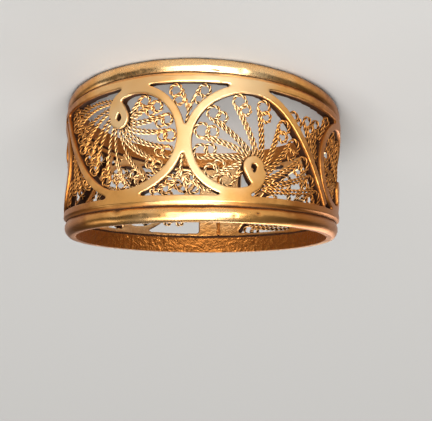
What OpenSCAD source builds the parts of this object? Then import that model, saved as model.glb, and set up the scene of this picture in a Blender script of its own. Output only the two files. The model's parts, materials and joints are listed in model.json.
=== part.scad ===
// A gold finger ring, soldered into one piece: a tapered band of pierced scrollwork
// between two flat frames and two half-round rails. It lies on one rim, on the floor
// at z = 0, with the front of the band at -Y and the finger hole leaning towards +Y.
// The origin is where the middle of the finger hole meets the floor. Lengths are in
// millimetres.
//
// Everything is drawn in the band's own frame, where the finger hole is the Z axis and
// z = 0 halfway between the rims, and then laid on its rim. A place on the band is
// [angle, z], with the angle counted from the front. The right half of the pattern is
// drawn, and the left half is the same one turned half round about the front centre.

/* [Ring] */
// Inside diameter, where the finger goes
bore_d = 18; // [16:0.5:21]
// Height of the band at the front, over both rails
front_h = 12; // [11:0.1:13]
// Height of the band at the back, over both rails
back_h = 7.6; // [7:0.1:8.6]
// Diameter of the wire that each half-round rail is made from
rail_d = 1.32; // [1.1:0.02:1.5]
// Width of the flat worn on the rim of each rail
rim_flat_w = 0.6; // [0.3:0.05:0.8]

/* [Walls] */
// Thickness of the metal at the scrolls and frames
scroll_t = 0.9; // [0.8:0.05:1.1]
// Thickness of the pierced ground behind the scrolls
ground_t = 0.45; // [0.35:0.05:0.55]

/* [Frames] */
// Height of the open field between the frames at the front
field_front_h = 8.2; // [7.8:0.05:8.4]
// Height of the open field between the frames at the back
field_back_h = 4.6; // [4.2:0.05:4.8]
// Width of each flat frame at the front
frame_front_w = 0.5; // [0.4:0.02:0.6]
// Width of each flat frame at the back
frame_back_w = 0.24; // [0.2:0.02:0.3]

/* [Scrolls] */
// Angle from the front centre to where the last scroll ends
pattern_angle = 168; // [162:1:170]
// Span of each scroll over the span of the one before it
scroll_shrink = 0.84; // [0.78:0.01:0.9]
// Height over which solder joins the heads of the first scrolls, at the front centre
front_joint_h = 1.4; // [1.1:0.1:1.5]
// Half the angle of the plain plate over the joint at the back
seam_half_angle = 9; // [7:0.5:10]
// Width of a scroll's strip round its head
strip_head_w = 0.56; // [0.45:0.01:0.65]
// Width of a scroll's strip at the end of its tail
strip_tail_w = 0.38; // [0.3:0.01:0.5]

/* [Filigree] */
// Width of each ray of the fans
ray_w = 0.4; // [0.3:0.02:0.5]
// Width of the ground left whole round the ends of the rays
curl_w = 0.62; // [0.5:0.02:0.7]
// Width of an opening where it begins between two rays
least_gap_w = 0.22; // [0.18:0.02:0.3]
// Width of the eye that ends a scroll
eye_w = 1.56; // [1.3:0.02:1.7]
// Width of the drop-shaped slot in an eye
eye_slot_w = 0.46; // [0.3:0.02:0.5]

/* [Hidden] */
$fn = 96;

gold = [0.85, 0.64, 0.32];
bore_r = bore_d / 2;
scroll_r = bore_r + scroll_t;
ground_r = bore_r + ground_t;
rail_r = rail_d / 2;
rail_set = 0.25; // how far the middle of a rail's wire stands out from the bore, in its radii
rail_ring_r = bore_r + rail_set * rail_r;
reach = 2 * bore_r; // well outside the ring
root_r = bore_r - 2; // well inside the wall, for what the bore then trims

// Each rail is a hoop of wire in a plane that tilts with the taper of the band.
tilt = asin((front_h - back_h) / 4 / rail_ring_r);
rail_mid = (front_h + back_h) / 4 - rail_r;
rest_height = sqrt(pow(rail_r, 2) - pow(rim_flat_w / 2, 2));
rim_mid = rail_mid + rest_height / cos(tilt);

mm_per_degree = scroll_r * PI / 180; // along the tops of the scrolls
front_joint_w = 0.6 * strip_head_w;  // within the two strips that it joins

field_mid = (field_front_h + field_back_h) / 4;
field_swing = (field_front_h - field_back_h) / 4;
frame_mid = field_mid + (frame_front_w + frame_back_w) / 2;
frame_swing = field_swing + (frame_front_w - frame_back_w) / 2;

// Three scrolls run from the front centre to each side, and each is smaller than the last.
share = [1, scroll_shrink, pow(scroll_shrink, 2)];
span = pattern_angle / (share[0] + share[1] + share[2]) * share;
start = [0, span[0], span[0] + span[1]];
last_scroll = 2;

// The middle of a scroll's strip, from its eye round the head to the end of its tail,
// as four curves. Each row is [along the scroll's span, up the half height of the field].
scroll_curve = [
    [0.505, -0.52], [0.505, -0.80], [0.430, -0.935], [0.330, -0.935],
    [0.160, -0.935], [0.028, -0.55], [0.028, -0.03],
    [0.028, 0.45], [0.190, 0.935], [0.420, 0.935],
    [0.660, 0.96], [0.860, 0.10], [1.076, -0.95],
];
curve_steps = [7, 11, 12, 14];

// Where the middle of the eye lies in the same measures, how far the tip of its outline
// lies from there in eye widths, and the tip of its slot in slot widths
eye_place = [0.447, -0.46];
eye_tip = [-0.16, -0.74];
slot_tip = [0.1, -1.2];

// Rays of the fan inside a scroll, clockwise. Each row is
// [start along, start up, end along, end up], in the same measures.
head_fan = [
    [0.364, -0.41, 0.218, -0.52],
    [0.386, -0.31, 0.136, -0.255],
    [0.417, -0.248, 0.152, 0.083],
    [0.447, -0.237, 0.212, 0.40],
    [0.477, -0.25, 0.361, 0.59],
    [0.508, -0.34, 0.508, 0.51],
    [0.527, -0.46, 0.621, 0.37],
    [0.530, -0.59, 0.712, 0.09],
    [0.530, -0.69, 0.795, -0.25],
    [0.523, -0.79, 0.871, -0.55],
    [0.508, -0.86, 0.955, -0.84],
];
// Rays in the triangle over a scroll's tail, fanning up from where the next head begins
tail_fan = [
    [0.945, -0.13, 0.760, 0.62],
    [0.960, -0.10, 0.880, 0.60],
    [0.985, -0.10, 0.985, 0.62],
    [1.010, -0.02, 1.110, 0.80],
];
// Rays in the triangle between the two front heads: two sides and a stem between them
front_fan = [
    [-0.016, 0.33, -0.105, 0.78],
    [0, 0.33, 0, 0.66],
    [0.016, 0.33, 0.105, 0.78],
];

// Every fan, as [the scroll that it is measured along, its rays, how many rays it steps].
// The last scroll is small and has every other ray, and the plate ends its outer fan.
fans = [
    for (k = [0 : last_scroll]) [k, head_fan, k == last_scroll ? 2 : 1],
    for (k = [0 : last_scroll - 1]) [k, tail_fan, 1],
    [last_scroll, [tail_fan[0], tail_fan[1]], 1],
    [0, front_fan, 1],
];

function field_half(a) = field_mid + field_swing * cos(a);

// A place on the band from the measures along and up a scroll
function spot(k, p) =
    let (a = start[k] + span[k] * p[0])
    [a, p[1] * field_half(a)];

// The point at radius r over a place on the band
function over(r, p) = [r * sin(p[0]), -r * cos(p[0]), p[1]];

// A place on the band as flat millimetres, and back
function flat(p) = [p[0] * mm_per_degree, p[1]];
function unflat(q) = [q[0] / mm_per_degree, q[1]];

function side_of(v) = [-v[1], v[0]] / norm(v);

function bezier(p0, p1, p2, p3, t) =
    pow(1 - t, 3) * p0 + 3 * pow(1 - t, 2) * t * p1
    + 3 * (1 - t) * t * t * p2 + pow(t, 3) * p3;

function scroll_path(k) = [
    for (c = [0 : 3])
        for (i = [c == 0 ? 0 : 1 : curve_steps[c]])
            let (j = 3 * c, t = i / curve_steps[c])
            flat(spot(k, bezier(scroll_curve[j], scroll_curve[j + 1],
                                scroll_curve[j + 2], scroll_curve[j + 3], t)))
];

// A strip of metal that follows a path over the band, from radius r0 to r1. Its width
// goes from w0 to w1 over the last third of the path.
module ribbon(path, w0, w1, r0, r1) {
    last = len(path) - 1;
    edges = [
        for (i = [0 : last])
            let (
                way = path[min(i + 1, last)] - path[max(i - 1, 0)],
                w = w0 + (w1 - w0) * max(0, 3 * i / last - 2),
                n = side_of(way) * w / 2
            )
            [unflat(path[i] + n), unflat(path[i] - n)]
    ];
    corners = [
        for (e = edges)
            each [over(r0, e[0]), over(r0, e[1]), over(r1, e[1]), over(r1, e[0])]
    ];
    sides = [
        for (i = [0 : last - 1], j = [0 : 3])
            let (
                a = 4 * i + j,
                b = 4 * i + (j + 1) % 4
            )
            each [[a, b, b + 4], [a, b + 4, a + 4]]
    ];
    n = 4 * last;
    ends = [[2, 1, 0], [3, 2, 0], [n, n + 1, n + 2], [n, n + 2, n + 3]];
    polyhedron(corners, concat(sides, ends));
}

// A flat outline drawn at a place on the band and cut or raised straight outwards
module outwards(place, from, to) {
    rotate([0, 0, place[0]])
        translate([0, 0, place[1]])
            rotate([90, 0, 0])
                translate([0, 0, from])
                    linear_extrude(height = to - from)
                        children();
}

// All that lies between two planes that draw together towards the back. Each lies at
// the height mid over the middle of the ring, above or below.
module between_planes(mid, slope) {
    front = mid + slope * reach;
    back = mid - slope * reach;
    rotate([90, 0, 90])
        linear_extrude(height = 2 * reach, center = true)
            polygon([[-reach, -front], [reach, -back], [reach, back], [-reach, front]]);
}

// A solid cut off a cylinder by two such planes
module slice(r, mid, slope) {
    intersection() {
        cylinder(r = r, h = 2 * reach, center = true);
        between_planes(mid, slope);
    }
}

module both_halves() {
    children();
    rotate([0, 180, 0]) children();
}

module rail() {
    translate([0, 0, -rail_mid])
        rotate([tilt, 0, 0])
            rotate_extrude()
                translate([rail_ring_r, 0])
                    circle(r = rail_r);
}

module frames() {
    difference() {
        slice(scroll_r, frame_mid, frame_swing / scroll_r);
        between_planes(field_mid, field_swing / scroll_r);
    }
}

module drop(w, tip) {
    way = tip / norm(tip);
    side = side_of(way);
    lean = w / 2 / norm(tip);
    touch = w / 2 * sqrt(1 - lean * lean);
    circle(d = w);
    polygon([tip, w / 2 * lean * way + touch * side, w / 2 * lean * way - touch * side]);
}

module eye(k) {
    outwards(spot(k, eye_place), root_r, reach)
        scale(share[k])
            difference() {
                drop(eye_w, eye_w * eye_tip);
                drop(eye_slot_w, eye_slot_w * slot_tip);
            }
}

module seam_plate() {
    plate_w = 2 * scroll_r * sin(seam_half_angle);
    plate_h = field_back_h + frame_back_w; // to the middle of each frame
    outwards([180, 0], root_r, reach)
        square([plate_w, plate_h], center = true);
}

module front_joint() {
    outwards([0, 0], root_r, reach)
        square([front_joint_w, front_joint_h], center = true);
}

module scrolls() {
    intersection() {
        cylinder(r = scroll_r, h = 2 * reach, center = true);
        union() {
            for (k = [0 : last_scroll])
                both_halves() {
                    ribbon(scroll_path(k), strip_head_w * share[k], strip_tail_w * share[k],
                           root_r, scroll_r + scroll_t);
                    eye(k);
                }
            front_joint();
            seam_plate();
        }
    }
}

// The opening between two rays, from where there is room for it to short of their ends,
// where the curls of the wire fill the ground
module gap(k, row, next) {
    starts = [flat(spot(k, [row[0], row[1]])), flat(spot(k, [next[0], next[1]]))];
    ends = [flat(spot(k, [row[2], row[3]])), flat(spot(k, [next[2], next[3]]))];
    ways = ends - starts;
    near_gap = norm(starts[1] - starts[0]);
    far_gap = norm(ends[1] - ends[0]);
    room = ray_w * share[k] + least_gap_w - near_gap;
    near = max(0, room / (far_gap - near_gap));
    far = [for (w = ways) 1 - curl_w * share[k] / norm(w)];
    insets = [-side_of(ways[0]), side_of(ways[1])] * ray_w * share[k] / 2;
    middle = unflat((starts[0] + starts[1] + ends[0] + ends[1]) / 4);
    outline = [
        starts[0] + near * ways[0] + insets[0],
        starts[0] + far[0] * ways[0] + insets[0],
        starts[1] + far[1] * ways[1] + insets[1],
        starts[1] + near * ways[1] + insets[1],
    ];
    outwards(middle, root_r, reach)
        polygon([for (q = outline) q - flat(middle)]);
}

module gaps() {
    for (f = fans)
        for (i = [0 : f[2] : len(f[1]) - 1 - f[2]])
            both_halves() gap(f[0], f[1][i], f[1][i + f[2]]);
}

module ground() {
    difference() {
        slice(ground_r, rail_mid, tan(tilt));
        gaps();
    }
}

module band() {
    difference() {
        union() {
            ground();
            frames();
            scrolls();
            rail();
            rotate([0, 180, 0]) rail();
        }
        cylinder(r = bore_r, h = 2 * reach, center = true);
    }
}

module filigree_ring() {
    color(gold)
        translate([0, rest_height * tan(tilt), rest_height])
            rotate([-tilt, 0, 0])
                translate([0, 0, rail_mid])
                    intersection() {
                        band();
                        between_planes(rim_mid, tan(tilt));
                    }
}

filigree_ring();
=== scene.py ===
import bmesh
import bpy
import json
import math
import random
from mathutils import Matrix, Vector
from mathutils.geometry import interpolate_bezier


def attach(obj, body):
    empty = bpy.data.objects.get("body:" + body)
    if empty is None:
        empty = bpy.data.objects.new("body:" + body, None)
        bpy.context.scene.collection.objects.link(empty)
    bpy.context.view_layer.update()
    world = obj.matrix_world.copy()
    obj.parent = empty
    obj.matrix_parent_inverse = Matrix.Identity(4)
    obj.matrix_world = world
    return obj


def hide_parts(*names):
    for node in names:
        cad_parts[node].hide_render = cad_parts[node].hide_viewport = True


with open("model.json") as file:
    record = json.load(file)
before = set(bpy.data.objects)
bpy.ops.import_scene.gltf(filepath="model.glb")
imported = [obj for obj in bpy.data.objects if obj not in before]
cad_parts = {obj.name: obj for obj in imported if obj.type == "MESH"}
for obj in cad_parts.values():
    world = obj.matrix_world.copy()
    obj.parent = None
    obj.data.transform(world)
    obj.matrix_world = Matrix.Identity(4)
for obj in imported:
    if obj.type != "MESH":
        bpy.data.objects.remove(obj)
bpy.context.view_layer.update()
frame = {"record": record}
random.seed(7)

# The band in millimetres. Its own frame has the finger hole as Z, its front at -Y and z = 0
# halfway between the rims. Most pieces are first made flat, as x along the band at the tops
# of the scrolls, y up the band and z out from the finger hole, and then bent round it.
band = {
    "wall": 0.9,            # metal at the scrolls and frames
    "meanHeight": 9.8,      # over both rails, halfway round
    "railWire": 1.32,       # wire that each half-round rail is made from
    "railOut": 0.25,        # its middle's distance out from the finger hole, over its radius
    "rimFlat": 0.6,         # flat worn on each rim
    "field": (8.2, 4.6),    # open height between the frames, front and back
    "frame": (0.5, 0.24),   # width of each frame, front and back
}
hole = frame["record"]["mounts"][0]
boreR = hole["dims"]["r_mm"]
lean = math.atan2(hole["axis"][1], hole["axis"][2])
topR = boreR + band["wall"]
halfRound = math.pi * topR
railR = band["railWire"] / 2
railRing = boreR + band["railOut"] * railR
railMid = band["meanHeight"] / 2 - railR
restHeight = math.sqrt(railR ** 2 - (band["rimFlat"] / 2) ** 2)
rimMid = railMid + restHeight / math.cos(lean)
bandPlace = (Matrix.Translation((0, restHeight * math.tan(lean), restHeight))
             @ Matrix.Rotation(-lean, 4, "X") @ Matrix.Translation((0, 0, railMid)))
millimetre = 0.001      # in metres
toMetres = Matrix.Scale(millimetre, 4)


def swing(pair, x):
    # a size that goes from its front value to its back value round the band
    front, back = pair
    return (front + back) / 2 + (front - back) / 2 * math.cos(x / topR)


def fieldHalf(x):
    return swing(band["field"], x) / 2


def frameOuter(x):
    return fieldHalf(x) + swing(band["frame"], x)


def onBand(co):
    angle, r = co.x / topR, boreR + co.z
    return Vector((r * math.sin(angle), -r * math.cos(angle), co.y))


def eased(low, high, value):
    # a smooth rise from 0 at low to 1 at high
    t = min(1, max(0, (value - low) / (high - low)))
    return t * t * (3 - 2 * t)


def addObject(name, data):
    made = bpy.data.objects.new(name, data)
    bpy.context.scene.collection.objects.link(made)
    return made


view = {
    "roll": 1.2,      # degrees that the ring is tipped sideways
    "rise": 13.9,     # degrees that it is tipped towards the camera
    "turn": 7.5,      # degrees that its front is turned away
    "side": 0.98,     # millimetres from the line of sight to the ring, across the picture
    "up": 2.594,      # and up it
    "drop": 0.153,    # from the middle of the band, along the finger hole
    "away": 396,
    "lens": 458.1,
    "sensor": 36,
    "nearest": 0.01,  # metres
}


def makeCamera():
    roll, rise = math.radians(-view["roll"]), math.radians(view["rise"])
    right = Vector((math.cos(roll), 0, -math.sin(roll)))
    axis = Vector((math.sin(roll), 0, math.cos(roll)))
    ahead = math.cos(rise) * Vector((0, 1, 0)) + math.sin(rise) * axis
    up = math.cos(rise) * axis - math.sin(rise) * Vector((0, 1, 0))
    facing = Matrix((right, up, -ahead)).transposed().to_4x4()
    facing.translation = right * view["side"] - up * view["up"] - ahead * view["away"]
    # The ring lies on the rim that is uppermost in the picture, so the camera is turned over.
    place = (bandPlace @ Matrix.Rotation(math.pi, 4, "Y")
             @ Matrix.Rotation(math.radians(view["turn"]), 4, "Z")
             @ Matrix.Translation((0, 0, -view["drop"])) @ facing)
    place.translation = place.translation * millimetre
    camera = addObject("camera", bpy.data.cameras.new("camera"))
    camera.data.sensor_width = view["sensor"]
    camera.data.lens = view["lens"]
    camera.data.clip_start = view["nearest"]
    camera.matrix_world = place
    bpy.context.scene.camera = camera
    return camera


camera = makeCamera()
print("camera at", [round(c, 4) for c in camera.location])


class Value:
    # a shader socket that Python's arithmetic works on
    def __init__(self, finish, socket):
        self.finish, self.socket = finish, socket

    def maths(self, operation, *values):
        return self.finish.node("ShaderNodeMath", {"operation": operation},
                                dict(enumerate(values)))

    def __add__(self, other):
        return self.maths("ADD", self, other)

    def __sub__(self, other):
        return self.maths("SUBTRACT", self, other)

    def __rsub__(self, other):
        return self.maths("SUBTRACT", other, self)

    def __mul__(self, other):
        return self.maths("MULTIPLY", self, other)

    __radd__ = __add__
    __rmul__ = __mul__


class Finish:
    # a material, and the nodes that it is made of
    def __init__(self, name):
        self.material = bpy.data.materials.new(name)
        self.material.use_nodes = True
        self.tree = self.material.node_tree
        self.shader = self.tree.nodes["Principled BSDF"]

    def node(self, kind, settings=None, inputs=None, output=0):
        made = self.tree.nodes.new(kind)
        for name, value in (settings or {}).items():
            setattr(made, name, value)
        self.fill(made, inputs or {})
        return Value(self, made.outputs[output])

    def fill(self, made, inputs):
        for name, value in inputs.items():
            if isinstance(value, Value):
                self.tree.links.new(value.socket, made.inputs[name])
            else:
                made.inputs[name].default_value = value

    def layer(self, name):
        # a measure that the piece's vertices carry
        return self.node("ShaderNodeAttribute", {"attribute_name": name}, output="Fac")

    def noise(self, place, scale, detail, rough):
        return self.node("ShaderNodeTexNoise", {}, {
            "Vector": place, "Scale": scale, "Detail": detail, "Roughness": rough})

    def between(self, value, low, high):
        return self.node("ShaderNodeMapRange", {"interpolation_type": "SMOOTHSTEP"},
                         {"Value": value, "From Min": low, "From Max": high})

    def mix(self, share, first, second):
        # the colours of a Mix node are its sockets 6 and 7, and its third result
        return self.node("ShaderNodeMix", {"data_type": "RGBA"},
                         {"Factor": share, 6: first, 7: second}, output=2)


gold = {
    "bright": (1.0, 0.69, 0.36, 1),           # colours, palest first, which is painted highlight towards the front
    "warm": (0.92, 0.46, 0.13, 1),
    # the film's orange-brown, also the painted shade in the finger hole, on the sides and towards
    # the upper rim
    "film": (0.42, 0.15, 0.03, 1),
    # the tarnish's dark brown, also the painted shade in recesses and crevices
    "tarnish": (0.040, 0.014, 0.005, 1),
    "broad": (260, 2, 0.5),                   # patterns, as [scale, layers of detail, strength
    "patches": (900, 3, 0.6),                 # of each finer layer]
    "grains": (5200, 2, 0.6),
    "filed": (2600, 3, 0.7),
    "scratches": (2400, 3, 0.5),
    "scratchTurn": (0.3, 0.2, 0.5),           # which way the scratches run
    "scratchLong": (1, 1, 9),
    "creviceReach": 0.0006,                   # metres from which a neighbour casts painted shade on the metal
    "creviceRays": 6,
    "warmFrom": (0.4, 0.8),                   # where the warmer patches and painted shade begin and are full
    "filmFrom": (0.35, 0.85),                 # and where the film and painted shade do
    "filmInside": 0.45,                       # how dense the painted shade is in the finger hole
    "filmDull": 0.75,                         # and on the sides and towards the upper rim, as painted shade
    "filedDepth": 0.17,                       # of the filing in the finger hole, in millimetres
    "patchDepth": 0.25,                       # the patches' depth over the broad pattern's
    "tarnishMetal": 0.75,                     # how much less metallic the tarnish and painted shade are
    "tarnishRough": 0.4,                      # how much rougher tarnish, grains, film and painted shade are
    "grainRough": 0.12,
    "filmRough": 0.1,
    "specular": 0.15,                         # gloss of the tarnish and painted shade
}
# How much each pattern, and each layer of painted shade, counts in where the tarnish, the film
# and the warmer patches lie. The middle of a pattern is 0.5.
tarnishShare = {"patches": 0.4, "grains": 0.2}
filmAndShadeShare = {"recess": 0.7, "inside": 0.5, "dull": 0.45, "broad": 0.5, "patches": 0.5}
warmAndShadeShare = {"dull": 0.5}


def goldFinish(name, wearAndShade):
    # the second argument says how far the dark tarnish and painted shade come up out of the
    # recesses, how rough the metal is and how deep its hammered unevenness and scratches go
    finish = Finish(name)
    place = finish.node("ShaderNodeTexCoord", output="Object")
    recess, inside, dull = [finish.layer(layer) for layer in ("recess", "inside", "dull")]
    broad, patches, grains, filed = [finish.noise(place, *gold[pattern]) for pattern
                                     in ("broad", "patches", "grains", "filed")]
    # painted shade in crevices, from ambient occlusion
    crevice = 1 - finish.node("ShaderNodeAmbientOcclusion", {"samples": gold["creviceRays"]},
                              {"Distance": gold["creviceReach"]}, "AO")
    # dark brown where tarnish lies in random patches and grains, and painted shade in recesses and
    # crevices
    tarnishAndShade = finish.between(
        recess + crevice * wearAndShade["crevice"] + (patches - 0.5) * tarnishShare["patches"]
        + (grains - 0.5) * tarnishShare["grains"], wearAndShade["from"], wearAndShade["to"])
    # orange-brown film in broad patches, and painted shade in recesses, in the finger hole, on the
    # sides and towards the upper rim
    film = finish.between(
        recess * filmAndShadeShare["recess"] + inside * filmAndShadeShare["inside"] + dull * filmAndShadeShare["dull"]
        + broad * filmAndShadeShare["broad"] + (patches - 0.5) * filmAndShadeShare["patches"], *gold["filmFrom"])
    # deeper gold in random patches, and as painted shade on the sides and towards the upper rim
    warmerAndShaded = finish.between(broad + dull * warmAndShadeShare["dull"], *gold["warmFrom"])
    clean = finish.mix(warmerAndShaded, gold["bright"], gold["warm"])
    filmAndShadeAmount = film * (inside * gold["filmInside"] + dull * gold["filmDull"] + wearAndShade["film"])
    coloured = finish.mix(tarnishAndShade, finish.mix(filmAndShadeAmount, clean, gold["film"]), gold["tarnish"])
    drawn = finish.node("ShaderNodeMapping", {}, {
        "Vector": place, "Rotation": gold["scratchTurn"], "Scale": gold["scratchLong"]})
    scratches = finish.noise(drawn, *gold["scratches"])
    height = (broad * wearAndShade["uneven"] + patches * (wearAndShade["uneven"] * gold["patchDepth"])
              + scratches * wearAndShade["scratch"] + (filed - 0.5) * inside * gold["filedDepth"])
    bump = finish.node("ShaderNodeBump", {}, {
        "Height": height, "Strength": 1.0, "Distance": millimetre})
    finish.fill(finish.shader, {
        "Base Color": coloured,
        "Metallic": 1 - tarnishAndShade * gold["tarnishMetal"],
        "Roughness": (tarnishAndShade * gold["tarnishRough"] + grains * gold["grainRough"]
                      + film * gold["filmRough"]) + wearAndShade["rough"],
        "Specular IOR Level": gold["specular"],
        "Normal": bump,
    })
    return finish.material


railGold = goldFinish("rail_gold", {
    "from": 0.5, "to": 0.9, "crevice": 0.8, "film": 0.35,
    "rough": 0.22, "uneven": 0.04, "scratch": 0.0015})
frameGold = goldFinish("fretwork_gold", {
    "from": 0.4, "to": 0.9, "crevice": 0.8, "film": 0.5,
    "rough": 0.26, "uneven": 0.03, "scratch": 0.0015})
wireGold = goldFinish("wire_gold", {
    "from": 0.44, "to": 0.86, "crevice": 0.45, "film": 0.12,
    "rough": 0.36, "uneven": 0.01, "scratch": 0.0})
print("gold finishes made")

# Painted shade on the gold, on the sides, less at the back, and towards the upper rim, by the
# angle from the front in radians and the height in the band's own frame
paintedShadeAreas = {
    "sides": (0.4, 1.2),      # begins and is full
    "back": (1.5, 2.3),       # begins to lessen and has lessened
    "backLess": 0.8,          # by how much
    "upper": (1.5, 4.5),      # heights over which the upper rim's share comes in
    "upperMore": 0.35,
    "most": 1.2,              # the most that they add up to
    "skin": 0.1,              # from the finger hole's wall to where the inside's finish ends
}


def finishPiece(name, bm, material, sharp=40):
    # bm is already in the band's own frame, its recess layer says how sheltered each vertex
    # lies, and edges of more than sharp degrees stay crisp
    if bm.calc_volume(signed=True) < 0:
        bmesh.ops.reverse_faces(bm, faces=bm.faces)
    inside = bm.verts.layers.float.new("inside")
    dull = bm.verts.layers.float.new("dull")
    for vert in bm.verts:
        out = math.hypot(vert.co.x, vert.co.y)
        angle = abs(math.atan2(vert.co.x, -vert.co.y))
        # painted shade, on the sides, less at the back, and towards the upper rim
        sides = eased(*paintedShadeAreas["sides"], angle)
        sides = sides * (1 - paintedShadeAreas["backLess"] * eased(*paintedShadeAreas["back"], angle))
        upper = paintedShadeAreas["upperMore"] * eased(*paintedShadeAreas["upper"], vert.co.z)
        # the finger hole's wall, where the finish paints shade and files the metal
        vert[inside] = eased(boreR + paintedShadeAreas["skin"], boreR, out)
        vert[dull] = min(paintedShadeAreas["most"], sides + upper)
    bmesh.ops.transform(bm, matrix=toMetres @ bandPlace, verts=bm.verts)
    mesh = bpy.data.meshes.new(name)
    bm.to_mesh(mesh)
    bm.free()
    mesh.materials.append(material)
    mesh.shade_smooth()
    mesh.set_sharp_from_angle(angle=math.radians(sharp))
    piece = addObject(name, mesh)
    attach(piece, "root")
    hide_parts("filigree_ring")
    print(name, len(mesh.polygons), "faces")


rails = {
    "sides": 32,              # faces round the wire
    "steps": 420,             # faces round the ring
    "groove": (0.5, 1.5),     # angles round the wire where tarnish and painted shade begin and are full
    "grooveEnd": 2.2,         # and where it stops
    "worn": 0.012,            # worn off all over, so that no wave stands proud
    "waves": (5, 11, 23),     # uneven waves round the ring, of which the first two go together
    "waveStart": 1.3,
    "longWave": 0.012,        # depth of the first two
    "shortWave": 0.006,       # and of the last
    "markBright": 0.02,       # depth to which a mark stays bright
    "markTarnish": 22,        # darkening painted over the depth below that
    # marks pressed into the rail, as [angle from the front, angle round the wire, length,
    # width, depth]
    "lowerMarks": [
        (-9, 25, 0.35, 0.11, 0.05), (-13, 32, 0.5, 0.1, 0.06), (-24, 18, 0.3, 0.13, 0.05),
        (31, 30, 0.5, 0.3, 0.04), (19, 22, 0.16, 0.08, 0.04)],
    "upperMarks": [
        (32, 8, 0.22, 0.14, 0.07), (-30, 30, 0.6, 0.4, 0.05), (8, 55, 0.4, 0.3, 0.03),
        (22, -12, 0.14, 0.1, 0.05), (13, 4, 0.1, 0.09, 0.05), (-4, -16, 0.3, 0.07, 0.04),
        (-17, -6, 0.16, 0.09, 0.05)],
}


def markDepth(marks, angle, side):
    depth = 0
    for atAngle, atSide, length, width, deep in marks:
        along = (angle - math.radians(atAngle)) * topR / length
        across = (side - math.radians(atSide)) * railR / width
        depth += deep * math.exp(-(along ** 2 + across ** 2))
    return depth


def wearRail(bm, marks):
    # presses the waves and marks into a rail that is still a plain ring round Z
    first, second, third = rails["waves"]
    recess = bm.verts.layers.float.new("recess")
    for vert in bm.verts:
        out = math.hypot(vert.co.x, vert.co.y)
        side = math.atan2(vert.co.z, out - railRing)      # 0 outwards, more towards the groove
        angle = math.atan2(vert.co.x, -vert.co.y)
        long = math.sin(first * angle + rails["waveStart"])
        uneven = (rails["longWave"] * long * math.sin(second * angle)
                  + rails["shortWave"] * math.sin(third * angle + side))
        mark = markDepth(marks, angle, side)
        press = (mark + rails["worn"] + uneven) / railR
        centre = Vector((vert.co.x, vert.co.y, 0)) * (railRing / out)
        vert.co = vert.co.lerp(centre, press)
        # tarnish and painted shade on the flank towards the groove, and darkening painted in the
        # marks
        sheltered = eased(*rails["groove"], side) if abs(side) < rails["grooveEnd"] else 0
        vert[recess] = sheltered + rails["markTarnish"] * max(0, mark - rails["markBright"])


def makeRail(name, upper):
    bm = bmesh.new()
    wire = bmesh.ops.create_circle(bm, segments=rails["sides"], radius=railR)["verts"]
    upright = Matrix.Rotation(math.pi / 2, 3, "X")
    bmesh.ops.rotate(bm, verts=wire, cent=(0, 0, 0), matrix=upright)
    bmesh.ops.translate(bm, verts=wire, vec=(railRing, 0, 0))
    bmesh.ops.spin(bm, geom=bm.verts[:] + bm.edges[:], cent=(0, 0, 0), axis=(0, 0, 1),
                   angle=math.tau, steps=rails["steps"], use_merge=True)
    bmesh.ops.remove_doubles(bm, verts=bm.verts, dist=0.001)
    bmesh.ops.recalc_face_normals(bm, faces=bm.faces)
    wearRail(bm, rails["upperMarks" if upper else "lowerMarks"])
    bmesh.ops.transform(bm, matrix=Matrix.Rotation(lean, 4, "X"), verts=bm.verts)
    bmesh.ops.translate(bm, verts=bm.verts, vec=(0, 0, -railMid))
    for vert in bm.verts:
        # filed back to the finger hole's wall, and to the flat of the rim
        out = math.hypot(vert.co.x, vert.co.y)
        if out < boreR:
            vert.co.xy = vert.co.xy * (boreR / out)
        vert.co.z = max(vert.co.z, math.tan(lean) * vert.co.y - rimMid)
    if upper:
        over = Matrix.Rotation(math.pi, 3, "Y")
        bmesh.ops.rotate(bm, verts=bm.verts, cent=(0, 0, 0), matrix=over)
    finishPiece(name, bm, railGold)


makeRail("lower_rail", False)
makeRail("upper_rail", True)

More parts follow.
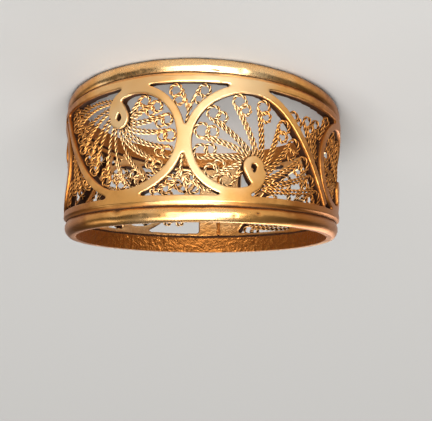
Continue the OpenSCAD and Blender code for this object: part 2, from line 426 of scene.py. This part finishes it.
fretwork = {
    "scrolls": 3,               # to each side of the front centre
    "patternAngle": 168,        # from the front centre to where the last scroll ends
    "shrink": 0.84,             # span of each scroll over the span of the one before it
    # middle of the strip from its eye round the head to its tail, as four curves with
    # columns along the scroll's span and up the half height of the field
    "curve": [(0.505, -0.52), (0.505, -0.80), (0.430, -0.935), (0.330, -0.935),
              (0.160, -0.935), (0.021, -0.55), (0.021, -0.03),
              (0.021, 0.45), (0.190, 0.935), (0.420, 0.935),
              (0.660, 0.96), (0.860, 0.10), (1.076, -0.95)],
    "curvePoints": 24,          # along each of the four
    "headStrip": 0.6,           # width of the first scroll's strip
    "tailStrip": 0.42,          # and at the end of its tail
    "eye": 1.56,                # width of its drop-shaped eye
    "eyeAt": (0.447, -0.46),    # middle of the eye's round part, in the columns of the curve
    "eyeTip": (-0.16, -0.74),   # from there to its tip, over its width
    "slot": 0.48,               # width of the slot in the eye
    "slotTip": (0.1, -1.2),
    "eyeSides": 40,
    "frameSteps": 180,          # straight lengths round the ring in each frame
    "sill": (0.84, 0.52),       # metal in the groove, beside the frame and beside the rail
    "sillEdges": (-0.1, 0.38),  # from the frame's outer edge to the sill's two edges
    "sillInside": 0.06,         # from the finger hole's wall to the sill
    "plateHalf": 9,             # angle of the plain plate at the back, either side of the joint
    "plateSteps": 6,
    "plateLap": 0.1,            # how far the plate goes into the frames
    "voxel": 0.097,             # how finely the soldered fretwork is meshed
    "polish": (0.5, 5),         # strength and number of the rubs that round its corners
    "filed": 0.06,              # filed off the tops of the strips, which leaves them flat
    "under": 0.002,             # how far the filed tops lie under the full height
    "crown": 0.03,              # share that is left of the height over them
    "sidesDark": (0.8, 0.5),    # heights where tarnish and painted shade on the sides begin and are full
    "insideBright": (0.0, 0.1),    # and where it ends again, at the finger hole
    "sharp": 60,                # least angle of an edge that stays crisp
}
shares = [fretwork["shrink"] ** k for k in range(fretwork["scrolls"])]
spans = [fretwork["patternAngle"] / sum(shares) * share for share in shares]
starts = [sum(spans[:k]) for k in range(fretwork["scrolls"])]


def spot(k, at):
    # a place on the flat band from the measures along and up scroll k
    x = math.radians(starts[k] + spans[k] * at[0]) * topR
    return Vector((x, at[1] * fieldHalf(x)))


def sideOf(way):
    # the direction a quarter turn anticlockwise from way
    return Vector((-way.y, way.x)).normalized()


def scrollPath(k):
    knots = [spot(k, at).to_3d() for at in fretwork["curve"]]
    path = []
    for i in range(0, len(knots) - 1, 3):
        path += interpolate_bezier(*knots[i:i + 4], fretwork["curvePoints"])[(1 if i else 0):]
    return [p.to_2d() for p in path]


def stripEdges(path, k):
    headW, tailW = fretwork["headStrip"] * shares[k], fretwork["tailStrip"] * shares[k]
    last = len(path) - 1
    edges = []
    for i, at in enumerate(path):
        way = path[min(i + 1, last)] - path[max(i - 1, 0)]
        tail = max(0, 3 * i / last - 2)     # the last third of the strip narrows
        width = headW + (tailW - headW) * tail
        edges.append((at + sideOf(way) * width / 2, at - sideOf(way) * width / 2))
    return edges


def pairsAcross(xs, near, far):
    # pairs of points at the places xs, at the heights that near and far give there
    return [(Vector((x, near(x))), Vector((x, far(x)))) for x in xs]


def raiseFaces(bm, faces, height):
    made = bmesh.ops.extrude_face_region(bm, geom=faces)["geom"]
    top = [item for item in made if isinstance(item, bmesh.types.BMVert)]
    bmesh.ops.translate(bm, verts=top, vec=(0, 0, height))
    return top


def addStrip(bm, edges, low, high):
    # a strip of metal between pairs of points, from height low to height high
    count = len(edges) - 1
    made = bmesh.ops.create_grid(bm, x_segments=count, y_segments=1, size=1)["verts"]
    for vert in made:
        left, right = edges[round((vert.co.x + 1) / 2 * count)]
        vert.co = (*(left if vert.co.y > 0 else right), low)
    return raiseFaces(bm, list({face for vert in made for face in vert.link_faces}), high - low)


def dropLoop(bm, middle, width, tip, turn):
    # a ring of points round the hull of a circle and a tip
    made = bmesh.ops.create_circle(bm, segments=fretwork["eyeSides"], radius=width / 2)["verts"]
    way, reach = math.atan2(tip.y, tip.x), tip.length
    touch = math.acos(width / 2 / reach)
    for vert in made:
        off = (math.atan2(vert.co.y, vert.co.x) - way + math.pi) % math.tau - math.pi
        if abs(off) < touch:
            edge = Matrix.Rotation(math.copysign(touch, off), 2) @ tip.normalized() * width / 2
            vert.co.xy = tip.lerp(edge, abs(off) / touch)
        vert.co = (*(middle + turn * vert.co.xy), 0)
    return list({edge for vert in made for edge in vert.link_edges})


def addEye(bm, k, turn):
    middle = turn * spot(k, fretwork["eyeAt"])
    width, slot = fretwork["eye"] * shares[k], fretwork["slot"] * shares[k]
    outer = dropLoop(bm, middle, width, width * Vector(fretwork["eyeTip"]), turn)
    inner = dropLoop(bm, middle, slot, slot * Vector(fretwork["slotTip"]), turn)
    faces = bmesh.ops.bridge_loops(bm, edges=outer + inner)["faces"]
    raiseFaces(bm, faces, band["wall"])


def addFrames(bm):
    # both frames, and the sills of the grooves between them and the rails
    steps = fretwork["frameSteps"]
    xs = [-halfRound + 2 * halfRound * i / steps for i in range(steps + 1)]
    near, far = fretwork["sillEdges"]
    high, low = fretwork["sill"]
    for turn in (1, -1):
        frameEdges = pairsAcross(xs, lambda x: turn * fieldHalf(x), lambda x: turn * frameOuter(x))
        addStrip(bm, frameEdges, 0, band["wall"])
        sillEdges = pairsAcross(xs, lambda x: turn * (frameOuter(x) + near),
                                lambda x: turn * (frameOuter(x) + far))
        for vert in addStrip(bm, sillEdges, fretwork["sillInside"], high):
            if abs(vert.co.y) > frameOuter(vert.co.x):
                vert.co.z = low


def addPlate(bm):
    half = math.radians(fretwork["plateHalf"]) * topR
    steps, lap = fretwork["plateSteps"], fretwork["plateLap"]
    for turn in (1, -1):
        xs = [turn * (halfRound - half * i / steps) for i in range(steps + 1)]
        edges = pairsAcross(xs, lambda x: fieldHalf(x) + lap, lambda x: -fieldHalf(x) - lap)
        addStrip(bm, edges, 0, band["wall"])


def meshOf(source):
    # the source's mesh with its modifiers applied, and the source removed
    graph = bpy.context.evaluated_depsgraph_get()
    mesh = bpy.data.meshes.new_from_object(source.evaluated_get(graph))
    bpy.data.objects.remove(source)
    bm = bmesh.new()
    bm.from_mesh(mesh)
    bpy.data.meshes.remove(mesh)
    return bm


def soldered(bm):
    # the parts in bm joined into one skin, with rounded corners
    parts = addObject("fretwork_parts", bpy.data.meshes.new("fretwork_parts"))
    bm.to_mesh(parts.data)
    bm.free()
    solder = parts.modifiers.new("solder", "REMESH")
    solder.mode, solder.voxel_size = "VOXEL", fretwork["voxel"]
    polish = parts.modifiers.new("polish", "SMOOTH")
    polish.factor, polish.iterations = fretwork["polish"]
    return meshOf(parts)


def makeFretwork():
    bm = bmesh.new()
    addFrames(bm)
    addPlate(bm)
    for k in range(len(shares)):
        path = scrollPath(k)
        for turn in (1, -1):
            addStrip(bm, stripEdges([turn * at for at in path], k), 0, band["wall"])
            addEye(bm, k, turn)
    bmesh.ops.recalc_face_normals(bm, faces=bm.faces)
    bm = soldered(bm)
    recess = bm.verts.layers.float.new("recess")
    flat = band["wall"] - fretwork["under"]
    for vert in bm.verts:
        # tarnish and painted shade on the sides of the strips
        dark = eased(*fretwork["sidesDark"], vert.co.z)
        vert[recess] = dark * eased(*fretwork["insideBright"], vert.co.z)
        raised = vert.co.z + fretwork["filed"]
        vert.co.z = min(raised, flat + fretwork["crown"] * (raised - flat))
        vert.co = onBand(vert.co)
    finishPiece("fretwork", bm, frameGold, fretwork["sharp"])


makeFretwork()

seam = {
    "width": 0.34,
    "proud": 0.05,              # how far the solder stands over the metal on both sides
    "cuts": 40,
    "corner": 0.5,              # least angle of the edges that are rounded, in radians
    "rounding": 0.1,
    "swell": 0.25,              # how uneven its width is
    "waves": (4.1, 1.7),        # radians to the millimetre
    "tarnish": 0.5,             # most, at its edges
    "edge": (0.05, 0.17),       # from its middle to where tarnish begins and is full
}


def makeSeam():
    # the line of solder that closes the band at the back
    bm = bmesh.new()
    half = fieldHalf(halfRound) + band["frame"][1] / 2
    bmesh.ops.create_cube(bm, size=1)
    bmesh.ops.scale(bm, verts=bm.verts, vec=(seam["width"], 2 * half, band["wall"]))
    long = [edge for edge in bm.edges
            if abs(edge.verts[0].co.y - edge.verts[1].co.y) > half]
    bmesh.ops.subdivide_edges(bm, edges=long, cuts=seam["cuts"])
    corners = [edge for edge in bm.edges if edge.calc_face_angle(0) > seam["corner"]]
    bmesh.ops.bevel(bm, geom=corners, offset=seam["rounding"], segments=3, profile=0.5,
                    affect="EDGES", material=-1)
    quick, slow = seam["waves"]
    recess = bm.verts.layers.float.new("recess")
    for vert in bm.verts:
        y = vert.co.y
        swell = 1 + seam["swell"] * math.sin(quick * y) * math.sin(slow * y + 1)
        x = halfRound + vert.co.x * swell
        z = band["wall"] / 2 + vert.co.z * (1 + seam["proud"] * swell / band["wall"])
        vert[recess] = seam["tarnish"] * eased(*seam["edge"], abs(vert.co.x))
        vert.co = onBand(Vector((x, y, min(max(z, 0), band["wall"]))))
    finishPiece("solder_seam", bm, frameGold)


makeSeam()

wires = {
    "rope": 0.26,               # thickness of two strands twisted together
    "pitch": 0.78,              # length of one turn of the twist
    "rings": 10,                # sections along each turn
    "lobe": (-95, -48, 0, 48, 95),    # angles of the points round the outer side of a strand
    "valley": 0.3,              # half the thickness between the strands, over their radius
    "level": 0.56,              # height of the rope's middle over the finger hole's wall
    "stagger": 0.05,            # how much every other ray lies higher or lower
    "apart": 0.22,              # between the two ropes of a ray
    "sweep": (350, 345),        # how far round the small and the large curl of a ray go
    "clear": 0.03,              # from a curl to the straight stem beside it
    "short": 0.25,              # from the end of that stem to the curl's middle, along it
    "bend": 0.6,                # where a stem bends most, over its length
    "fewest": 3,                # points along a stem
    "stemShare": 0.6,           # part of a rope's path that counts as its stem
    "back": 1.4,                # from the large curl to the small one, towards the eye
    "aside": 0.45,              # and clockwise, both over the large one's radius
    "sunk": 0.03,               # how deep the large curl's rope goes into the strip
    "steps": 12,                # tries in finding the strip
    "curlSizes": (0.94, 1.04),  # least and most size of a ray's curls over the fan's
    "tailCurls": 0.8,           # size of the curls over a scroll's tail, over the fan's
    "tailRays": (4, 4, 2),      # over the tail of the first, second and third scroll
    "headRays": (1, 0.85, 0.7),    # share of the fan's rays inside each of them
    "bowed": (0, 0.3),          # part of a fan over which its rays begin to bend
    "branched": (0.3, 0.5),     # and to branch
    # tarnish and painted shade round the outline of the twist, from crest to valley, and painted
    # shade on its underside
    "shelter": (0.35, 0, 0, 0, 0.35, 0.95) * 2,
    "under": 0.35,
    "underFrom": (0.05, -0.15),    # over the rope's middle
    "sharp": 75,                # least angle of an edge that stays crisp
}
# The small curl of a ray lies against the large one. Curls are radii along the rope's middle,
# branch is how far along the stem of the later rays the rope of the small curl starts, and
# bow is how much the rays bend.
fans = {
    "right": {"rays": 15, "curls": (0.33, 0.42), "branch": 0.5, "bow": -0.8},
    "left": {"rays": 12, "curls": (0.40, 0.50), "branch": 0.0, "bow": -0.3},
}
# Rays of the fan inside a scroll, clockwise, and of the fan over its tail, as
# [start along, start up, end along, end up] in the measures of the scroll
headFan = [
    (0.370, -0.51, 0.300, -0.66), (0.364, -0.41, 0.200, -0.54), (0.386, -0.31, 0.135, -0.225),
    (0.417, -0.248, 0.135, 0.12), (0.447, -0.237, 0.195, 0.45), (0.477, -0.25, 0.365, 0.61),
    (0.508, -0.34, 0.520, 0.55), (0.527, -0.46, 0.660, 0.30), (0.530, -0.59, 0.745, 0.00),
    (0.530, -0.69, 0.810, -0.30), (0.523, -0.79, 0.865, -0.60), (0.508, -0.86, 0.955, -0.86),
]
tailFan = [
    (0.945, -0.13, 0.760, 0.62), (0.960, -0.10, 0.880, 0.60), (0.985, -0.10, 0.985, 0.62),
    (1.010, -0.02, 1.110, 0.80),
]
# Ropes of the sprigs in the two triangles at the front centre, as [start along, start up,
# curl's middle along, curl's middle up, curl's radius, 1 where it curls anticlockwise, how
# far round it goes]. The first two are the stem.
sprigs = {
    "both": [
        (0.004, 0.22, 0.022, 0.62, 0.04, 1, 90), (0.014, 0.22, 0.030, 0.62, 0.04, -1, 90),
        (0.020, 0.58, -0.060, 0.865, 0.42, 1, 330), (0.016, 0.52, -0.040, 0.700, 0.37, 1, 350),
        (0.030, 0.58, 0.125, 0.870, 0.41, -1, 330), (0.032, 0.52, 0.088, 0.720, 0.33, -1, 350)],
    "upper": [
        (0.030, 0.66, 0.200, 0.90, 0.16, -1, 350), (0.000, 0.66, -0.165, 0.90, 0.15, 1, 350)],
}


def curledPath(start, centre, radius, turn, sweep, bow=0):
    # along a stem that passes beside the ring round centre, then over to that ring and round it
    ahead = (centre - start).normalized()
    stem = centre - ahead * wires["short"] - sideOf(ahead) * turn * (radius + wires["clear"])
    over = centre - stem
    heading = math.atan2(over.y, over.x) - turn * math.asin(min(1, radius / over.length))
    first = heading - turn * math.pi / 2
    touch = centre + radius * Vector((math.cos(first), math.sin(first)))
    leave = start.lerp(stem, wires["bend"]) + sideOf(ahead) * bow
    step = wires["pitch"] / wires["rings"]
    knots = [knot.to_3d() for knot in (start, leave, stem, touch)]
    points = max(wires["fewest"], round((touch - start).length / step))
    path = [at.to_2d() for at in interpolate_bezier(*knots, points)]
    count = round(math.radians(sweep) * radius / step)
    for i in range(1, count + 1):
        angle = first + turn * math.radians(sweep) * i / count
        path.append(centre + radius * Vector((math.cos(angle), math.sin(angle))))
    return path


def addRope(curve, path, level):
    spline = curve.splines.new("POLY")
    spline.points.add(len(path) - 1)
    phase = random.uniform(0, math.tau)
    length = 0
    for i, (point, at) in enumerate(zip(spline.points, path)):
        length += (at - path[i - 1]).length if i else 0
        point.co = (at.x, at.y, level, 1)
        point.tilt = phase + math.tau * length / wires["pitch"]


def twistProfile():
    # two touching strands side by side, as one outline with a valley on each side, and the
    # number of its points
    strand = wires["rope"] / 4      # radius of one of them
    lobe = [math.radians(a) for a in wires["lobe"]]
    right = [(strand + strand * math.cos(a), strand * math.sin(a)) for a in lobe]
    valley = strand * wires["valley"]
    outline = right + [(0, valley)] + [(-x, -y) for x, y in right] + [(0, -valley)]
    curve = bpy.data.curves.new("twist_profile", "CURVE")
    spline = curve.splines.new("POLY")
    spline.points.add(len(outline) - 1)
    for point, (x, y) in zip(spline.points, outline):
        point.co = (x, y, 0, 1)
    spline.use_cyclic_u = True
    return addObject("twist_profile", curve), len(outline)


def levelOf(number):
    return wires["level"] + wires["stagger"] * (1 if number % 2 else -1)


def rowAt(rows, t):
    # the row of a fan's table at t of the way through it, between two rows where need be
    low = min(int(t * (len(rows) - 1)), len(rows) - 2)
    share = t * (len(rows) - 1) - low
    return [a + (b - a) * share for a, b in zip(rows[low], rows[low + 1])]


def ontoStrip(edges, start, end, keep):
    # the place on the ray from start to end that lies keep from the strip
    ahead = (end - start).normalized()
    for _ in range(wires["steps"]):
        end = end + ahead * (min((end - at).length for pair in edges for at in pair) - keep)
    return end


def addRay(curve, curls, branch, start, end, turn, number, bow):
    # two ropes side by side, which end in two curls on the clockwise side
    ahead = (end - start).normalized()
    clockwise = -sideOf(ahead)
    nested = end + (clockwise * wires["aside"] - ahead * wires["back"]) * curls[1]
    for side, centre, radius, sweep in zip((1, -1), (nested, end), curls, wires["sweep"]):
        begin = start + clockwise * side * wires["apart"] / 2
        path = curledPath(begin, centre, radius, -1, sweep, bow)
        if side > 0:
            path = path[round(len(path) * wires["stemShare"] * branch):]
        addRope(curve, [turn * at for at in path], levelOf(number))


def addFans(curve, k, turn):
    fan = fans["right" if turn > 0 else "left"]
    edges = stripEdges(scrollPath(k), k)
    count = round(fan["rays"] * wires["headRays"][k])
    for number in range(count):
        t = number / (count - 1)
        row = rowAt(headFan, t)
        curls = Vector(fan["curls"]) * shares[k] * random.uniform(*wires["curlSizes"])
        keep = curls[1] + wires["rope"] / 2 - wires["sunk"]
        start = spot(k, row[:2])
        end = ontoStrip(edges, start, spot(k, row[2:]), keep)
        bow = fan["bow"] * shares[k] * eased(*wires["bowed"], t)
        branch = fan["branch"] * eased(*wires["branched"], t)
        addRay(curve, curls, branch, start, end, turn, number, bow)
    curls = Vector(fan["curls"]) * shares[k] * wires["tailCurls"]
    for number, row in enumerate(tailFan[:wires["tailRays"][k]]):
        addRay(curve, curls, 0, spot(k, row[:2]), spot(k, row[2:]), turn, number, 0)


def addSprig(curve, turn):
    rows = sprigs["both"] + (sprigs["upper"] if turn > 0 else [])
    for number, (x0, y0, x1, y1, radius, curlTurn, sweep) in enumerate(rows):
        path = curledPath(spot(0, (x0, y0)), spot(0, (x1, y1)), radius, curlTurn, sweep)
        addRope(curve, [turn * at for at in path], levelOf(number // 2))


def makeWires(name, profile, around, addTo):
    # the ropes that addTo adds to a curve, made into one mesh and bent round the band, where
    # around is the number of points in their profile
    curve = bpy.data.curves.new(name, "CURVE")
    curve.dimensions, curve.twist_mode = "3D", "Z_UP"
    curve.bevel_mode, curve.bevel_object, curve.use_fill_caps = "OBJECT", profile, True
    addTo(curve)
    bm = meshOf(addObject(name, curve))
    recess = bm.verts.layers.float.new("recess")
    begins, full = [wires["level"] + height for height in wires["underFrom"]]
    for number, vert in enumerate(bm.verts):
        # tarnish and painted shade in the twist's valleys, and painted shade on the rope's
        # underside
        low = eased(begins, full, vert.co.z)
        vert[recess] = wires["shelter"][number % around] + wires["under"] * low
        vert.co = onBand(vert.co)
    ends = [face for face in bm.faces if len(face.verts) != 4]      # these come inside out
    bmesh.ops.reverse_faces(bm, faces=ends)
    bmesh.ops.remove_doubles(bm, verts=bm.verts, dist=0.0001)
    finishPiece(name, bm, wireGold, wires["sharp"])


profile, around = twistProfile()
for side, turn in (("right", 1), ("left", -1)):
    for k, scroll in enumerate(("first", "second", "third")):
        makeWires(f"{scroll}_scroll_wires_{side}", profile, around,
                  lambda curve: addFans(curve, k, turn))
for side, turn in (("upper", 1), ("lower", -1)):
    makeWires(f"front_sprig_{side}", profile, around, lambda curve: addSprig(curve, turn))
bpy.data.objects.remove(profile)

studio = {
    "paper": (0.37, 0.362, 0.35, 1),
    "paperHalf": 1.5,               # half its width, in metres
    "paperRough": 0.9,
    "air": (1, 0.94, 0.86, 1),      # faint light from all round
    "airStrength": 0.06,
    "away": 0.45,                   # metres from the ring to each softbox
    "aim": 0.006,                   # height that they face
    # softboxes, as [degrees from the front, degrees up, width and height in metres, watts]
    "lights": {
        "front": (-10, 16, (0.48, 0.21), 1.9),
        "high_front": (-10, 45, (0.35, 0.22), 1.9),
        "overhead": (20, 75, (0.25, 0.25), 1.7),
        "side": (100, 30, (0.15, 0.2), 0.15),
        "back": (195, 22, (0.3, 0.25), 1.1),
    },
}


def makeFloor():
    bm = bmesh.new()
    bmesh.ops.create_grid(bm, x_segments=1, y_segments=1, size=studio["paperHalf"])
    mesh = bpy.data.meshes.new("floor")
    bm.to_mesh(mesh)
    bm.free()
    finish = Finish("floor_paper")
    finish.fill(finish.shader, {
        "Base Color": studio["paper"], "Roughness": studio["paperRough"],
        "Specular IOR Level": 0.0})
    mesh.materials.append(finish.material)
    floor = addObject("floor", mesh)


def addSoftLight(name, azimuth, rise, size, watts):
    light = bpy.data.lights.new(name, "AREA")
    light.shape, light.energy = "RECTANGLE", watts
    light.size, light.size_y = size
    lamp = addObject(name, light)
    a, e = math.radians(azimuth), math.radians(rise)
    out = Vector((math.sin(a) * math.cos(e), -math.cos(a) * math.cos(e), math.sin(e)))
    lamp.location = out * studio["away"] + Vector((0, 0, studio["aim"]))
    lamp.rotation_euler = (-out).to_track_quat("-Z", "Y").to_euler()
    lamp.visible_camera = False


def makeStudio():
    makeFloor()
    world = bpy.data.worlds.new("studio")
    world.use_nodes = True
    background = world.node_tree.nodes["Background"]
    background.inputs["Color"].default_value = studio["air"]
    background.inputs["Strength"].default_value = studio["airStrength"]
    bpy.context.scene.world = world
    bpy.context.scene.view_settings.view_transform = "Standard"
    for name, light in studio["lights"].items():
        addSoftLight(name, *light)


makeStudio()
print("studio made")
